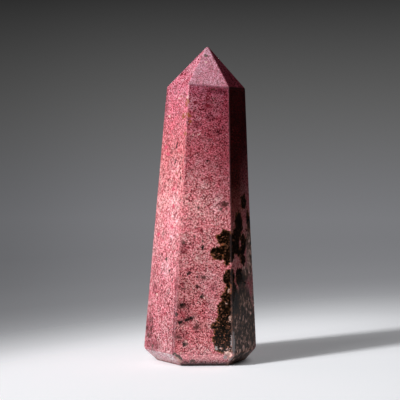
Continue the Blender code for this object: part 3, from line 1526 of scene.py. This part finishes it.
    def _flecked(self, colour: Wire) -> Wire:
        """Scatter sparse flecks, some deep red and some pale, through the pink.

        Args:
            colour: The pink.

        Returns:
            The pink with the flecks.
        """
        board = self.board
        near, cell = board.cells(board.swirl(self.place, self.fleck_swirl), self.fleck_spacing)
        inside = board.ease(near, *self.fleck_reach)
        deep = inside * board.ease(board.part(cell, "X"), *self.deep_flecks)
        pale = inside * board.ease(board.part(cell, "X"), *self.pale_flecks)
        colour = board.mix(deep, colour, colour * self.deep_fleck_change)
        return board.mix(pale, colour, colour * self.pale_fleck_change + self.pale_fleck_lift)

    def _clouded(self, colour: Wire) -> Wire:
        """Darken the stone in its broad stains, pale it in its clouds, and lay painted sheen over the front
        chamfer's upper part and the front tip facet.

        Args:
            colour: The pink.

        Returns:
            The pink with all of them.
        """
        board = self.board
        ragged = board.swirl(self.place, self.stain_swirl)
        stain = board.ease(self._nearest(ragged, STAINS), *self.stain_rim)
        for blush in BLUSHES:
            stain = board.most(stain, board.ease(self._beyond(ragged, blush), *self.blush_rim))
        colour = board.mix(stain, colour, colour * self.stain_change)
        foot = self._on(Kind.CHAMFER, Side.FRONT) * self._climb(self.foot_sheen_heights)
        colour = board.mix(foot * self.foot_sheen_share, colour, self.foot_sheen)
        tip = self._on(Kind.TIP, Side.FRONT)
        colour = board.mix(tip * self.tip_sheen_share, colour, self.tip_sheen)
        pale = board.ease(self._nearest(ragged, CLOUDS), *self.cloud_rim)
        return board.mix(pale, colour, colour * self.cloud_change + self.cloud_lift)

    def _peppered(self, colour: Wire) -> Wire:
        """Strew fine black grains, drawn out along the stone, over parts of the pink.

        Args:
            colour: The pink.

        Returns:
            The pink with those parts.
        """
        board, mottling = self.board, self.mottling
        drawn_out = board.swirl(self.place, self.pepper_swirl) * self.pepper_stretch
        _, cell = board.cells(drawn_out * self.pepper_grain_stretch, self.pepper_size)
        tone = board.cloud(drawn_out, *self.pepper_cloud) * self.pepper_cloud_strength - self.pepper_bias
        tone = tone + board.part(cell, "X") * self.pepper_grain_strength
        tone = tone - self._climb(self.pepper_darker_heights) * self.pepper_darker
        tone = tone + self._climb(self.pepper_paler_heights) * self.pepper_paler
        return board.mix(mottling, colour, board.ramp(tone, PEPPER_TONES))

    def _with_manganese(self, pink: Wire) -> Wire:
        """Lay the black patches with their rusty rims over the pink.

        Args:
            pink: The pink with its grain, flecks, stains and mottled parts.

        Returns:
            The stone's colour without its small marks.
        """
        board, depth = self.board, self.manganese
        _, cell = board.cells(self.place, self.inner_cell)
        tone = board.part(cell, "X") * self.inner_strength
        tone = tone + (board.cloud(self.place, *self.inner_cloud) - HALF) * self.inner_drift
        tone = tone + self.inner_bias
        low = self._climb(self.inner_low_heights)
        stops = (
            (0.0, self.black),
            (0.50, self.black),
            (0.74, self.sooty),
            (0.90, self.brown),
            (1.0, self.bronze),
        )
        inside = board.ramp(tone + low * self.inner_low, stops)
        rim = board.mix(board.ease(tone, *self.rust_band), self.brown, self.rust)
        patch = board.mix(board.ease(depth, *self.rim_band), inside, rim)
        return board.mix(board.ease(depth, *self.patch_band), pink, patch)

    def _marked(self, colour: Wire) -> Wire:
        """Lay the small marks of other minerals over the stone.

        Args:
            colour: The stone's colour without them.

        Returns:
            The stone's colour with them.
        """
        board = self.board
        ragged = board.swirl(self.place, *self.mark_swirls)
        _, cell = board.cells(ragged, self.mark_cell)
        loose = (board.part(cell, "Y") - HALF) * self.mark_tearing - self.mark_bias
        for mineral in Mineral:
            outside = self._nearest(ragged, MARKS.get(mineral, {}), BLOTS.get(mineral, ()))
            soft = SOFTNESS.get(mineral, self.mark_softness)
            here = board.ease(outside + loose, soft, -soft) * self.mark_strength
            colour = board.mix(here, colour, mineral.value)
        return colour

    def _rounded(self) -> Wire:
        """Give 1 on the rounded long edges and 0 on the facets and on the tip's crisp edges."""
        return self.board.ease(self.edge, *self.rounded_band) * self._climb(self.rounded_heights)

    def _paled_edges(self, colour: Wire) -> Wire:
        """Pale the rounded long edges in patches: partly grain rubbed by hand polishing, partly a painted
        highlight.

        Args:
            colour: The stone's colour.

        Returns:
            The stone's colour with its paled edges, and with a painted sheen line low along the front's
            right edge.
        """
        board = self.board
        edge_patches = board.ease(board.cloud(self.place, *self.edge_patch_cloud), *self.edge_patch_band)
        paled_edge = self._rounded() * edge_patches * self.pale_edge_share
        colour = board.mix(paled_edge, colour, colour * self.pale_edge_change + self.pale_edge_lift)
        # A pale grey-pink line along the front's right edge, low down: painted sheen.
        low = self._climb(self.sheen_line_heights) * board.ease(board.part(self.place, "X"), *self.sheen_line_across)
        sheen_line_mask = board.ease(self.edge, *self.sheen_line_band) * low
        sheen_line_mask = sheen_line_mask * (edge_patches * self.sheen_line_patch_share + self.sheen_line_share)
        return board.mix(sheen_line_mask, colour, self.sheen_line)

    def _roughness(self) -> Wire:
        """Give the roughness, which is more on the edges, in mottled parts and at the very foot.

        Returns:
            The roughness, which is a little less in the black.
        """
        board = self.board
        rough = self.polish + board.cloud(self.place, self.polish_lump) * self.polish_change
        rough = rough + self._rounded() * self.rounded_roughness
        rough = rough + board.ease(self.edge, *self.edge_band) * self.edge_roughness
        rough = rough - board.ease(self.manganese, *self.black_band) * self.black_gloss
        rough = rough + self.mottling * self.mottled_roughness
        return rough + self._climb(self.foot_heights) * self.foot_roughness

    def _nearest(
        self,
        place: Wire,
        spots: Mapping[Side, Iterable[Spot]],
        blots: Iterable[Blot] = (),
    ) -> Wire:
        """Give how far outside the nearest of some spots and blots a place is.

        Args:
            place: The place, in millimetres.
            spots: The spots on each long facet.
            blots: The blots.

        Returns:
            The distance in millimetres, less than 0 inside.
        """
        return reduce(self.board.least, self._distances(place, spots, blots))

    def _distances(
        self,
        place: Wire,
        spots: Mapping[Side, Iterable[Spot]],
        blots: Iterable[Blot],
    ) -> Iterator[Wire]:
        """Give how far outside each of some spots and blots a place is.

        Args:
            place: The place, in millimetres.
            spots: The spots on each long facet.
            blots: The blots.

        Yields:
            The distances in millimetres, less than 0 inside.
        """
        for side, ovals in spots.items():
            facet = facing(self.facets, Kind.LONG, side)
            for turn in sorted({spot.turn for spot in ovals}):
                axes = facet.turned(turn)
                along = self.board.wire(
                    "ShaderNodeMapping",
                    {"vector_type": "TEXTURE"},
                    {"Vector": place, "Rotation": tuple(axes.to_euler("XYZ"))},
                )
                for spot in ovals:
                    if spot.turn == turn:
                        yield self._outside(along, facet, axes, spot)
        for blot in blots:
            yield self._beyond(place, blot)

    def _outside(self, along: Wire, facet: Facet, axes: Matrix, spot: Spot) -> Wire:
        """Give how far outside one spot a place is.

        Args:
            along: The place along the spot's axes, in millimetres.
            facet: The facet that the spot is on.
            axes: The spot's axes.
            spot: The spot.

        Returns:
            The distance in millimetres, less than 0 inside.
        """
        middle = axes.transposed() @ (facet.place(spot.across * MM, spot.height * MM) * MM_PER_METRE)
        reaches = (spot.wide, min(spot.wide, spot.tall), spot.tall)
        scaled = self.board.wire(
            "ShaderNodeVectorMath",
            {"operation": "MULTIPLY_ADD"},
            {
                "Vector": along,
                "Vector_001": tuple(1.0 / reach for reach in reaches),
                "Vector_002": tuple(-at / reach for at, reach in zip(middle, reaches)),
            },
        )
        size = min(reaches)
        return self.board.wire(
            "ShaderNodeMath",
            {"operation": "MULTIPLY_ADD"},
            {"Value": self.board.length(scaled), "Value_001": size, "Value_002": -size},
        )

    def _beyond(self, place: Wire, blot: Blot) -> Wire:
        """Give how far outside one blot a place is, in millimetres."""
        middle = (blot.x, blot.y, blot.z)
        return self.board.wire(
            "ShaderNodeVectorMath",
            {"operation": "DISTANCE"},
            {"Vector": place, "Vector_001": middle},
            "Value",
        ) - blot.radius


@dataclass(frozen=True)
class Softbox:
    """A soft studio light, out of the camera's sight.

    bearing is its direction from the stone, in degrees from the front (-Y) towards +X, lift its
    direction above the level, distance how far it is from aim, glow the brightness of its face.
    """

    name: str
    bearing: float
    lift: float
    distance: float
    width: float
    height: float
    glow: float
    aim: Triple = (0.0, 0.0, 0.07)
    lights_floor: bool = True

    def hang(self, stone: bpy.types.Object) -> None:
        """Put the light in the scene.

        Args:
            stone: The stone, which is all that the light shines on if it doesn't light the floor.
        """
        lamp = bpy.data.lights.new(self.name, "AREA")
        lamp.shape = "RECTANGLE"
        lamp.size, lamp.size_y = self.width, self.height
        lamp.energy = self.glow * pi * self.width * self.height
        box = bpy.data.objects.new(self.name, lamp)
        bpy.context.scene.collection.objects.link(box)
        turn, lift = radians(self.bearing), radians(self.lift)
        way = Vector((sin(turn) * cos(lift), -cos(turn) * cos(lift), sin(lift)))
        box.location = Vector(self.aim) + way * self.distance
        box.rotation_mode = "QUATERNION"
        box.rotation_quaternion = (-way).to_track_quat("-Z", "Y")
        box.visible_camera = False
        if not self.lights_floor:
            lit = bpy.data.collections.new(f"{self.name}_lights_only")
            lit.objects.link(stone)
            box.light_linking.receiver_collection = lit


SOFTBOXES = (
    Softbox("key_softbox", -52.0, 28.0, 4.0, 0.42, 0.42, 323.0),
    Softbox("key_diffuser", -52.0, 30.0, 3.6, 1.35, 1.35, 7.5),
    Softbox("overhead_softbox", -80.0, 75.0, 0.9, 0.7, 0.7, 2.0, lights_floor=False),
    Softbox("left_card", -113.0, 6.0, 0.9, 0.7, 0.3, 0.7),
    Softbox("back_softbox", 184.0, 8.0, 1.2, 0.45, 0.45, 9.0, lights_floor=False),
)


# How much of the floor is left, by how many reaches away from the middle of the pool it is
POOL_FADE = (
    (0.0, 1.0),
    (0.5, 1.0),
    (0.7, 0.99),
    (0.85, 0.865),
    (1.0, 0.625),
    (1.2, 0.38),
    (1.4, 0.217),
    (1.7, 0.112),
    (2.0, 0.075),
    (3.0, 0.025),
    (4.75, 0.0),
)
# The distance, in reaches, that the ramp of the fade holds
POOL_SPAN = 5.0


@dataclass(frozen=True)
class Studio:
    """A plain pale floor whose light falls off into a grey backdrop, soft lights and the camera.

    The floor's pool of light is an oval: pool_middle is its middle, pool_reach its two half
    widths and pool_turn the way that it is turned, in degrees. The floor's own glow stands in for
    fill light; inside contact, a distance from the stone's middle, it has none, which is a painted
    contact shadow. The backdrop's numbers go by the way that the camera looks: its height above the
    level, and how far to the right of straight ahead.
    """

    floor_radius: float = 3.0
    pool_middle: Band = (-0.048, -0.140)
    pool_reach: Band = (0.392, 0.1335)
    pool_turn: float = 61.3
    floor_white: Triple = (0.89, 0.90, 0.93)
    floor_glow: float = 0.225
    floor_roughness: float = 0.9
    floor_shine: float = 0.1
    contact: Band = (0.0185, 0.0265)
    backdrop_grey: float = 0.182
    backdrop_fall: float = 0.78
    backdrop_darkest: float = 0.01
    backdrop_brightest: float = 0.197
    backdrop_middle: float = 0.09
    backdrop_sides: Band = (0.0, 0.09)
    backdrop_side_fall: float = 0.3
    backdrop_white: Triple = (1.0, 1.0, 1.0)
    backdrop_blue: Triple = (0.98, 0.99, 1.05)
    backdrop_blue_heights: Band = (0.12, -0.02)
    room: Triple = (0.006, 0.006, 0.0065)
    camera_place: Triple = (-0.00027, -0.495, 0.07746)
    camera_dip: float = 0.094
    camera_lens: float = 92.98

    def set_up(self, stone: bpy.types.Object) -> None:
        """Make the floor, the backdrop, the lights and the camera.

        Args:
            stone: The stone.
        """
        self._floor()
        self._backdrop()
        for softbox in SOFTBOXES:
            softbox.hang(stone)
        self._camera()
        shown = bpy.context.scene.view_settings
        shown.view_transform = "Standard"
        shown.look = "None"

    def _floor(self) -> None:
        """Lay the floor, whose far parts fade out."""
        disc = bmesh.new()
        bmesh.ops.create_circle(disc, cap_ends=True, radius=self.floor_radius, segments=96)
        mesh = bpy.data.meshes.new("floor")
        disc.to_mesh(mesh)
        disc.free()
        floor = bpy.data.objects.new("floor", mesh)
        bpy.context.scene.collection.objects.link(floor)
        mesh.materials.append(self._floor_material())

    def _floor_material(self) -> bpy.types.Material:
        """Make the matt floor, which fades away outside an oval pool of light.

        Returns:
            The floor's material.
        """
        material = bpy.data.materials.new("pale_floor")
        material.use_nodes = True
        board = Board(material.node_tree)
        place = board.wire("ShaderNodeTexCoord", output="Object")
        local = board.wire(
            "ShaderNodeMapping",
            {"vector_type": "TEXTURE"},
            {
                "Vector": place,
                "Location": (*self.pool_middle, 0.0),
                "Rotation": (0.0, 0.0, radians(self.pool_turn)),
                "Scale": (*self.pool_reach, 1.0),
            },
        )
        stops = [(at / POOL_SPAN, (left,) * 3) for at, left in POOL_FADE]
        fade = board.ramp(board.length(local) / POOL_SPAN, stops, "B_SPLINE")
        # The floor glows to stand in for fill light, except under and round the stone's foot, where the
        # missing glow is a painted contact shadow.
        open_floor = board.ease(board.length(place), *self.contact)
        matt = board.wire(
            "ShaderNodeBsdfPrincipled",
            None,
            {
                "Base Color": self.floor_white,
                "Roughness": self.floor_roughness,
                "Specular IOR Level": self.floor_shine,
                "Emission Color": board.mix(open_floor, (0.0, 0.0, 0.0), self.floor_white),
                "Emission Strength": self.floor_glow,
            },
        )
        clear = board.wire("ShaderNodeBsdfTransparent")
        mixed = board.wire("ShaderNodeMixShader", None, {"Fac": fade, "Shader": clear, "Shader_001": matt})
        board.node("ShaderNodeOutputMaterial", None, {"Surface": mixed})
        return material

    def _backdrop(self) -> None:
        """Make the grey backdrop, which only the camera sees; the rest of the room is dark."""
        world = bpy.data.worlds.new("studio")
        bpy.context.scene.world = world
        world.use_nodes = True
        board = Board(world.node_tree)
        way = board.wire("ShaderNodeTexCoord", output="Generated")
        up, across = board.part(way, "Z"), board.part(way, "X")
        grey = board.most(self.backdrop_grey - up * self.backdrop_fall, self.backdrop_darkest)
        grey = board.least(grey, self.backdrop_brightest)
        aside = (across - self.backdrop_middle) ** 2.0
        grey = grey * (1.0 - board.ease(aside, *self.backdrop_sides) * self.backdrop_side_fall)
        blue = board.ease(up, *self.backdrop_blue_heights)
        tinted = board.mix(blue, self.backdrop_white, self.backdrop_blue) * grey
        seen = board.wire("ShaderNodeBackground", None, {"Color": tinted, "Strength": 1.0})
        room = board.wire("ShaderNodeBackground", None, {"Color": self.room, "Strength": 1.0})
        camera = board.wire("ShaderNodeLightPath", output="Is Camera Ray")
        mixed = board.wire("ShaderNodeMixShader", None, {"Fac": camera, "Shader": room, "Shader_001": seen})
        board.node("ShaderNodeOutputWorld", None, {"Surface": mixed})

    def _camera(self) -> None:
        """Place the camera as the photograph was taken: level with the middle of the stone."""
        data = bpy.data.cameras.new("camera")
        data.lens = self.camera_lens
        camera = bpy.data.objects.new("camera", data)
        bpy.context.scene.collection.objects.link(camera)
        camera.location = self.camera_place
        camera.rotation_euler = (radians(90.0 - self.camera_dip), 0.0, 0.0)
        bpy.context.scene.camera = camera


def main() -> None:
    """Dress the stone and set up the studio."""
    logging.basicConfig(level=logging.INFO, format="%(message)s")
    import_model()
    facets = read_facets(bpy.data.objects[NODE])
    tower = PolishedTower(facets).build()
    tower.data.materials.append(RhodoniteFinish(facets).make())
    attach(tower, BODY)
    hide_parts(NODE)
    LOG.info("%s: %d faces", tower.name, len(tower.data.polygons))
    Studio().set_up(tower)
    bpy.context.view_layer.update()


if __name__ == "__main__":
    main()
